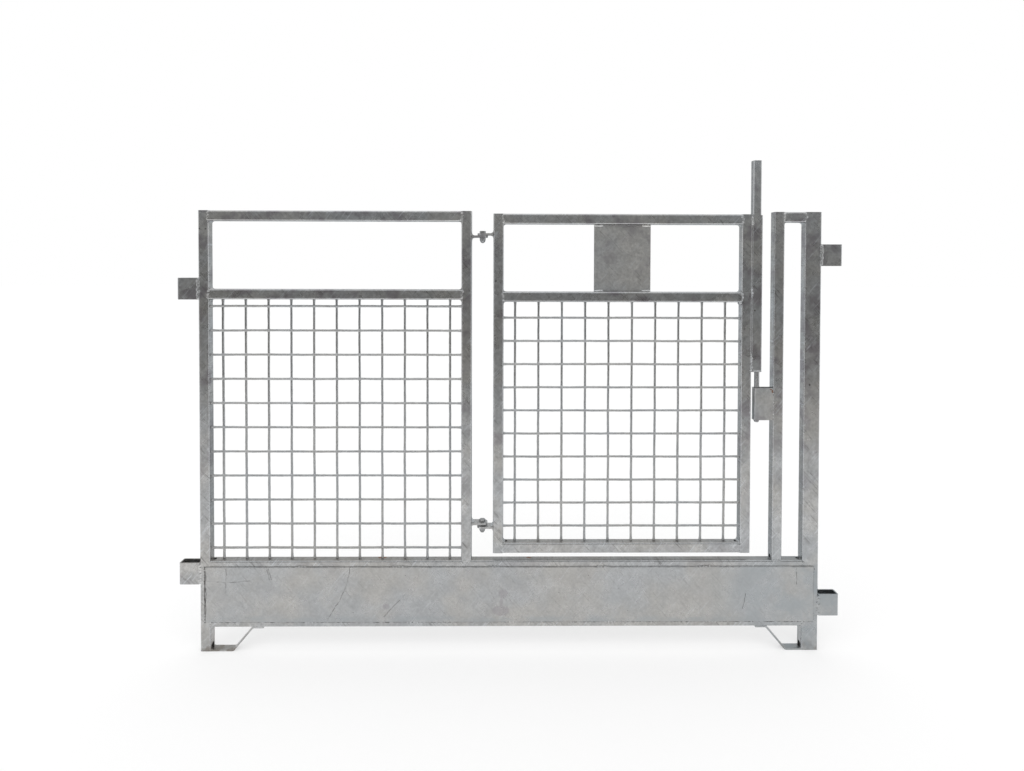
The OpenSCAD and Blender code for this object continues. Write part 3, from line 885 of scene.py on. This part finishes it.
class PENGATE_OT_rail_welds(bpy.types.Operator):
    """Weld the rails to the posts and stiles, and the inner posts to the sill."""

    bl_idname = "pen_gate.rail_welds"
    bl_label = "Rail welds"

    def execute(self, context):
        frame_rails = ("panel_top_rail", "panel_mid_rail", "latch_top_rail", "sill_rail", "bottom_rail")
        gate_rails = ("gate_top_rail", "gate_mid_rail", "gate_bottom_rail")
        for body, upright, rails in (
                ("frame", "left_post", frame_rails), ("gate", "gate_hinge_stile", gate_rails)):
            low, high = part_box(upright)
            seams = Beads()
            webs = Beads()
            for node in rails:
                self.rail(seams, webs, node, high.z, low.z)
            if body == "frame":
                for node in ("hinge_post", "latch_post"):
                    self.post_foot(seams, node)
            seams.finish(body + "_rail_welds", body)
            webs.finish(body + "_corner_webs", body, "tube", 0.5)
        return {"FINISHED"}

    def rail(self, seams, webs, node, top, bottom):
        """Seams round both ends of a rail, and webs in the corners that have no drain and aren't flush."""
        sizes = settings("welds")
        low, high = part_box(node)
        for x, side in ((low.x, 1), (high.x, -1)):
            seams.hand_weld("rail", ACROSS_TUBE, ALONG_Z, x - side * OVER_POST, (low.z + high.z) / 2)
            for z, edge, under in ((low.z, bottom, True), (high.z, top, False)):
                if abs(z - edge) < FLUSH:
                    fill_z = z + sizes.fill if under else z - sizes.fill
                    seams.run(sizes.groove, ACROSS_TUBE, ALONG_Y, (x - side * sizes.seat / 2, 0, fill_z))
                elif node != "sill_rail" or under:
                    webs.web(sizes.web, WEB_DEPTH, side, under, (x, 0, z))

    def post_foot(self, seams, node):
        """Seams at the foot of a post that stands on the sill."""
        low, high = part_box(node)
        z = low.z - settings("welds").seat
        seams.hand_weld("post foot", ACROSS_TUBE, ALONG_X, (low.x + high.x) / 2, z)


# How much thicker the fill beside a coupling sleeve is, and how flat
SLEEVE_FILL = 1.25
SLEEVE_FLAT = 0.5
# Welds of the feet, on the strip, on the flange and in the inner corner
FOOT_BEAD = 2 * MM
FOOT_CORNER_BEAD = 2.2 * MM
FLANGE_WELD = 18 * MM
FLANGE_IN = 11 * MM
FOOT_CORNER_WELD = 5 * MM
FOOT_CORNER_OUT = 8 * MM
# Guide tube: its hand welds and the height of the middle one, and the beads along it and under its foot
GUIDE_WELD = 20 * MM
GUIDE_MIDDLE = 872 * MM
GUIDE_BEAD = 2.2 * MM
GUIDE_SEAT = 2.4 * MM
GUIDE_FOOT_SEAT = 0.4 * MM
# Radius and length of the lump of weld under the gate's middle rail, by the guide
CORNER_LUMP = (5 * MM, 12 * MM)


class PENGATE_OT_seam_welds(bpy.types.Operator):
    """Weld the coupling sleeves, the keeper, the feet and the guide tube."""

    bl_idname = "pen_gate.seam_welds"
    bl_label = "Seam welds"

    def execute(self, context):
        beads = Beads()
        for side in ("left", "right"):
            for level in ("upper", "lower"):
                self.coupling(beads, side, level)
        self.keeper(beads)
        for side in ("left", "right"):
            self.foot(beads, side)
        beads.finish("frame_seam_welds", "frame")
        beads = Beads()
        self.guide(beads)
        beads.finish("guide_welds", "gate")
        return {"FINISHED"}

    def coupling(self, beads, side, level):
        """Welds down a coupling sleeve where it meets its post."""
        low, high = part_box(f"{side}_{level}_coupling")
        x = high.x if side == "left" else low.x
        length = high.z - low.z - 3 * MM
        beads.hand_weld("coupling", length, ALONG_Z, x, (low.z + high.z) / 2, SLEEVE_FILL, SLEEVE_FLAT)

    def keeper(self, beads):
        """Welds down the keeper where it meets the latch post."""
        low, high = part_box("bolt_keeper")
        length = high.z - low.z - 6 * MM
        for y in (low.y + settings("welds").seat, high.y):
            beads.ripples("keeper", length, ALONG_Z, (high.x, y, (low.z + high.z) / 2))

    def foot(self, beads, side):
        """Welds of a foot under its post, on its flange and in its inner corner."""
        low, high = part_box(side + "_foot")
        post_low, post_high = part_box(side + "_post")
        tread = post_low.z
        middle = (post_low.x + post_high.x) / 2
        inner = post_high.x if side == "left" else post_low.x
        flange = high.x - FLANGE_IN if side == "left" else low.x + FLANGE_IN
        for y in (low.y, high.y):
            beads.run(FOOT_BEAD, post_high.x - post_low.x - 8 * MM, ALONG_X, (middle, y, tread))
            beads.run(FOOT_BEAD, FLANGE_WELD, ALONG_X, (flange, y, high.z))
        for y in (-FOOT_CORNER_OUT, FOOT_CORNER_OUT):
            beads.run(FOOT_CORNER_BEAD, FOOT_CORNER_WELD, ALONG_Y, (inner, y, tread))

    def guide(self, beads):
        """Hand welds and a bead along the guide tube, a bead under it, and a lump by the middle rail."""
        sizes = settings("welds")
        low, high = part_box("bolt_guide")
        middle_x = (low.x + high.x) / 2
        middle_z = (low.z + high.z) / 2
        for z in (high.z - 14 * MM, GUIDE_MIDDLE, low.z + 30 * MM, low.z + 9 * MM):
            for y, inward in FACES:
                beads.ripples("guide", GUIDE_WELD, ALONG_Z, (low.x, y + inward * sizes.seat, z))
        for y, inward in FACES:
            along_at = (low.x, y + inward * GUIDE_SEAT, middle_z)
            beads.run(GUIDE_BEAD, high.z - low.z - 2 * MM, ALONG_Z, along_at)
        for y, inward in FACES:
            foot_at = (middle_x, y + inward * GUIDE_FOOT_SEAT, low.z)
            beads.run(GUIDE_BEAD, TUBE - 6 * MM, ALONG_X, foot_at)
        rail_low, rail_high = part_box("gate_mid_rail")
        lump_at = (rail_high.x - 3 * MM, FRONT + 5 * MM, rail_low.z - 1 * MM)
        beads.run(*CORNER_LUMP, ALONG_Y, lump_at, 1)


# Middles of the stitches along the kick plate's top and foot
TOP_STITCHES = (0.231, 0.466, 0.699, 0.963, 1.21)
FOOT_STITCHES = (0.255, 0.5, 0.74, 0.98, 1.225, 1.335)
# How deep the kick plate's stitches lie, and the length of those at its ends
STITCH_SEAT = 0.6 * MM
END_STITCH = 22 * MM
# Zinc that fills the seam along the kick plate's top, in beads laid end to end
FILL_SPANS = 5
FILL_BEAD = 1.7 * MM
FILL_OUT = 0.9 * MM
FILL_DOWN = 0.4 * MM
# Tacks of the sign plate and the bead over it
TACK_BEAD = 3.2 * MM
TACK_OUT = 0.6 * MM
SIGN_BEAD = 1.7 * MM


class PENGATE_OT_plate_welds(bpy.types.Operator):
    """Stitch the kick plate to the frame, tack the sign plate to the gate, and fill both seams; the sign
    plate's fill is darker zinc, as painted shade in its gap.
    """

    bl_idname = "pen_gate.plate_welds"
    bl_label = "Plate welds"

    def execute(self, context):
        self.kick_plate()
        self.sign_plate()
        return {"FINISHED"}

    def kick_plate(self):
        """Stitches on all sides of the kick plate, and zinc along its top."""
        stitch = settings("welds").stitch
        seat = PLATE_HIGH.y - STITCH_SEAT
        beads = Beads()
        for x in TOP_STITCHES:
            beads.ripples("plate top", stitch, ALONG_X, (x, seat, PLATE_HIGH.z), 1)
        for x in FOOT_STITCHES:
            beads.ripples("plate foot", stitch, ALONG_X, (x, seat, PLATE_LOW.z), 1)
        for x in (PLATE_LOW.x, PLATE_HIGH.x):
            for z in (PLATE_LOW.z + 10 * MM, PLATE_HIGH.z - 14 * MM):
                beads.ripples("plate end", END_STITCH, ALONG_Z, (x, seat, z), 1)
        beads.finish("kick_plate_welds", "frame")
        beads = Beads()
        length = (PLATE_HIGH.x - PLATE_LOW.x) / FILL_SPANS
        for index in range(FILL_SPANS):
            x = PLATE_LOW.x + (index + 0.5) * length
            beads.run(FILL_BEAD, length, ALONG_X, (x, FRONT - FILL_OUT, PLATE_HIGH.z - FILL_DOWN), 1)
        beads.finish("kick_plate_seam", "frame", "plate", 0.4)

    def sign_plate(self):
        """Tacks at the sign plate's corners, and a darker zinc bead between it and the rail above, as painted
        shade in the gap.
        """
        tack = settings("welds").tack
        low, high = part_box("sign_plate")
        beads = Beads()
        for x in (low.x + tack / 2, high.x - tack / 2):
            for z in (low.z + 1.4 * MM, high.z - 0.6 * MM):
                for y in (low.y - TACK_OUT, high.y + TACK_OUT):
                    beads.run(TACK_BEAD, tack, ALONG_X, (x, y, z), 1)
        beads.finish("sign_plate_tacks", "gate", "tacks")
        # The bead in the gap over the sign plate is darker zinc: painted shade
        beads = Beads()
        rail_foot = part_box("gate_top_rail")[0].z
        seam_at = ((low.x + high.x) / 2, 0, (high.z + rail_foot) / 2)
        beads.run(SIGN_BEAD, high.x - low.x - 4 * MM, ALONG_X, seam_at, 1)
        beads.finish("sign_plate_seam", "gate", "seam", 0.25)


# Length of the welds along a hinge lug
LUG_WELD = 20 * MM


class PENGATE_OT_lug_welds(bpy.types.Operator):
    """Weld the hinge lugs to their tubes."""

    bl_idname = "pen_gate.lug_welds"
    bl_label = "Lug welds"

    def execute(self, context):
        reach = settings("welds").lug_web
        for body, x, side in (
                ("frame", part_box("hinge_post")[1].x, 1), ("gate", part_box("gate_hinge_stile")[0].x, -1)):
            beads = Beads()
            for level in ("upper", "lower"):
                low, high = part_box(f"{level}_{body}_lug")
                beads.web(reach, LUG_WELD, side, True, (x, 0, low.z))
                beads.web(reach, LUG_WELD, side, False, (x, 0, high.z))
            beads.finish(body + "_lug_welds", body, lump=0.7)
        return {"FINISHED"}


# Hinge nuts: how much wider the zinc makes them, how far dome and hexagon overlap, and the rounded edges
NUT_ZINC = 1.08
NUT_OVERLAP = 0.5 * MM
NUT_ROUND = 0.6 * MM


class PENGATE_OT_nuts(bpy.types.Operator):
    """Domed nuts under the hinge lugs, rounded by the zinc."""

    bl_idname = "pen_gate.nuts"
    bl_label = "Hinge nuts"

    def execute(self, context):
        sizes = settings("welds")
        for node in ("upper_hinge_nut", "lower_hinge_nut"):
            low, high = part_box(node)
            flats = NUT_ZINC * min(high.x - low.x, high.y - low.y)
            centre = (low + high) / 2
            parts = [self.hexagon(flats, sizes.nut_base), self.dome(flats, sizes.nut_dome)]
            for part, drop in zip(parts, (0, sizes.nut_base - NUT_OVERLAP)):
                pick(part)
                bpy.ops.transform.translate(value=(centre.x, centre.y, high.z - drop))
                settle()
            piece = joined(parts, node.replace("nut", "dome_nut"))
            dress(piece, MATERIALS["nuts"], "frame")
            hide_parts(node)
        return {"FINISHED"}

    def hexagon(self, flats, height):
        """Hexagon hanging from the origin, its edges rounded off."""
        deselect_all()
        bpy.ops.mesh.primitive_cylinder_add(
            vertices=6, radius=flats / 2 / math.cos(math.pi / 6), depth=height, location=(0, 0, -height / 2))
        settle()
        part = bpy.context.object
        edit(
            part, "edges", lambda e: True,
            lambda: bpy.ops.mesh.bevel(offset=NUT_ROUND, segments=3, profile=0.5, affect="EDGES"))
        return part

    def dome(self, flats, height):
        """Lower half of a ball, drawn down to a given height."""
        deselect_all()
        bpy.ops.mesh.primitive_uv_sphere_add(segments=28, ring_count=16, radius=flats / 2)
        part = bpy.context.object
        edit(
            part, "polygons", lambda p: True,
            lambda: bpy.ops.mesh.bisect(
                plane_co=(0, 0, 0), plane_no=(0, 0, 1), clear_outer=True, use_fill=True))
        resize(part, (1, 1, height / (flats / 2)))
        return part


def seen_directly(graph):
    """1 for what the camera sees, also in metal, and 0 for light on a surface."""
    path = graph.node("ShaderNodeLightPath").outputs
    seen = graph.math("ADD", path["Is Camera Ray"], path["Is Glossy Ray"])
    return graph.math("ADD", seen, path["Is Transmission Ray"], clamp=True)


WHITE = (1, 1, 1, 1)
# Cards: distance behind the panel, and width and height
FRONT_CARD = (-2.35, (8.0, 2.5))
BACK_CARD = (2.6, (6.0, 2.0))
GROUND_CARD = (1.5, (4.0, 2.1))
# How far a lying card is above the floor, and the heights between which an upright one changes
CARD_LIFT = 2 * MM
CARD_FADE = (0.6, 2.2)
# Where the key light is, how it is turned and how broad it is
KEY_AT = (0, -2, 4)
KEY_TURN = (math.radians(28), math.radians(-10), 0)
KEY_BREADTH = math.radians(75)


class PENGATE_OT_studio(bpy.types.Operator):
    """Floor, room light, grey cards for the metal to mirror, and the camera."""

    bl_idname = "pen_gate.studio"
    bl_label = "Studio"

    def execute(self, context):
        scene = context.scene
        scene.view_settings.view_transform = "Standard"
        self.floor()
        self.room(scene)
        self.cards()
        self.lamp()
        self.camera(scene)
        return {"FINISHED"}

    def floor(self):
        """White floor under the object."""
        studio = settings("studio")
        deselect_all()
        bpy.ops.mesh.primitive_plane_add(size=studio.floor_size, location=(MIDDLE, 0, 0))
        floor = bpy.context.object
        floor.name = "studio_floor"
        material, graph = new_material("white_floor")
        shader = graph.tree.nodes["Principled BSDF"]
        graph.feed(shader, {"Base Color": rgba(studio.floor), "Roughness": 0.9, "Specular IOR Level": 0.0})
        white = graph.node("ShaderNodeEmission", {"Color": WHITE, "Strength": 1.0}).outputs[0]
        share = graph.times(seen_directly(graph), studio.floor_white)
        mixed = graph.node("ShaderNodeMixShader", {0: share, 1: shader.outputs[0], 2: white}).outputs[0]
        graph.feed(graph.tree.nodes["Material Output"], {"Surface": mixed})
        floor.data.materials.append(material)

    def room(self, scene):
        """Soft light from all round; the room looks white to the eye and in the metal."""
        world = bpy.data.worlds.new("studio_room")
        world.use_nodes = True
        scene.world = world
        world.node_tree.nodes.clear()
        graph = Graph(world.node_tree)
        sky = rgba(settings("studio").sky)
        soft = graph.node("ShaderNodeBackground", {"Color": sky, "Strength": 1.0}).outputs[0]
        white = graph.node("ShaderNodeBackground", {"Color": WHITE, "Strength": 1.0}).outputs[0]
        mixed = graph.node("ShaderNodeMixShader", {0: seen_directly(graph), 1: soft, 2: white}).outputs[0]
        graph.node("ShaderNodeOutputWorld", {"Surface": mixed})

    def cards(self):
        """Grey cards in front, behind and on the floor behind, seen only in reflections."""
        studio = settings("studio")
        warm = studio.warm_tint
        cool = studio.cool_tint
        ground = (studio.ground_shade, cool)
        self.card("front_card", *FRONT_CARD, (studio.front_low, warm), (studio.front_high, cool))
        self.card("back_card", *BACK_CARD, (studio.back_low, cool), (studio.back_high, cool))
        self.card("ground_card", *GROUND_CARD, ground, ground, lying=True)

    def card(self, name, y, size, low, high, lying=False):
        """One card, upright on the floor or lying on it, whose brightness and tint change with height."""
        deselect_all()
        place = (MIDDLE, y, CARD_LIFT if lying else size[1] / 2)
        bpy.ops.mesh.primitive_plane_add(size=1, location=place, rotation=ALONG_Z if lying else ALONG_Y)
        card = bpy.context.object
        card.name = name
        card.scale = (*size, 1)
        material, graph = new_material(name)
        graph.tree.nodes.clear()
        height = graph.parts(graph.node("ShaderNodeNewGeometry").outputs["Position"])["Z"]
        shades = [(*(shade * c for c in tint), 1) for shade, tint in (low, high)]
        colour = graph.mix(graph.fade(height, *CARD_FADE), *shades)
        glow = graph.node("ShaderNodeEmission", {"Color": colour, "Strength": 1.0})
        graph.node("ShaderNodeOutputMaterial", {"Surface": glow.outputs[0]})
        card.data.materials.append(material)
        for ray in ("camera", "diffuse", "transmission", "shadow"):
            setattr(card, "visible_" + ray, False)

    def lamp(self):
        """Broad soft light from above and in front, too even to leave a glint."""
        deselect_all()
        bpy.ops.object.light_add(type="SUN", location=KEY_AT, rotation=KEY_TURN)
        lamp = bpy.context.object
        lamp.name = "key_light"
        lamp.data.energy = settings("studio").key_strength
        lamp.data.angle = KEY_BREADTH
        lamp.visible_glossy = False

    def camera(self, scene):
        """Camera at the photograph's place."""
        studio = settings("studio")
        deselect_all()
        bpy.ops.object.camera_add(location=studio.camera_at)
        camera = bpy.context.object
        camera.name = "photo_camera"
        aim = Euler((math.pi / 2 - studio.camera_tilt, 0, studio.camera_pan)).to_quaternion()
        camera.rotation_mode = "QUATERNION"
        camera.rotation_quaternion = aim @ Quaternion((0, 0, 1), studio.camera_roll)
        camera.data.sensor_width = SENSOR_WIDTH
        camera.data.lens = studio.focal_px * SENSOR_WIDTH / IMAGE_WIDTH
        camera.data.shift_y = (studio.axis_row - IMAGE_HEIGHT / 2) / IMAGE_WIDTH
        scene.camera = camera


class PENGATE_PT_panel(bpy.types.Panel):
    """Buttons for the pen gate's pieces and sizes."""

    bl_idname = "PENGATE_PT_panel"
    bl_label = "Pen gate"
    bl_space_type = "VIEW_3D"
    bl_region_type = "UI"
    bl_category = "Pen gate"

    def draw(self, context):
        for operator in OPERATORS:
            self.layout.operator(operator.bl_idname)
        for group in GROUPS:
            box = self.layout.box()
            box.label(text=group.capitalize())
            for name in GROUPS[group].__annotations__:
                box.prop(settings(group), name)


GROUPS = {"zinc": ZincFinish, "wires": WireSizes, "welds": WeldSizes, "studio": StudioSettings}
OPERATORS = (
    PENGATE_OT_finish, PENGATE_OT_wires, PENGATE_OT_rail_welds, PENGATE_OT_seam_welds,
    PENGATE_OT_plate_welds, PENGATE_OT_lug_welds, PENGATE_OT_nuts, PENGATE_OT_studio,
)


def register():
    """Register the classes and hang the size groups on the scene."""
    for cls in (*GROUPS.values(), *OPERATORS, PENGATE_PT_panel):
        bpy.utils.register_class(cls)
    for name, cls in GROUPS.items():
        setattr(bpy.types.Scene, "pen_gate_" + name, PointerProperty(type=cls))


def unregister():
    """Take the groups and classes away again."""
    for name in GROUPS:
        delattr(bpy.types.Scene, "pen_gate_" + name)
    for cls in (PENGATE_PT_panel, *reversed(OPERATORS), *GROUPS.values()):
        bpy.utils.unregister_class(cls)


def main():
    """Build every piece in order."""
    register()
    bpy.ops.pen_gate.finish()
    bpy.ops.pen_gate.wires()
    bpy.ops.pen_gate.rail_welds()
    bpy.ops.pen_gate.seam_welds()
    bpy.ops.pen_gate.plate_welds()
    bpy.ops.pen_gate.lug_welds()
    bpy.ops.pen_gate.nuts()
    bpy.ops.pen_gate.studio()


if __name__ == "__main__":
    main()
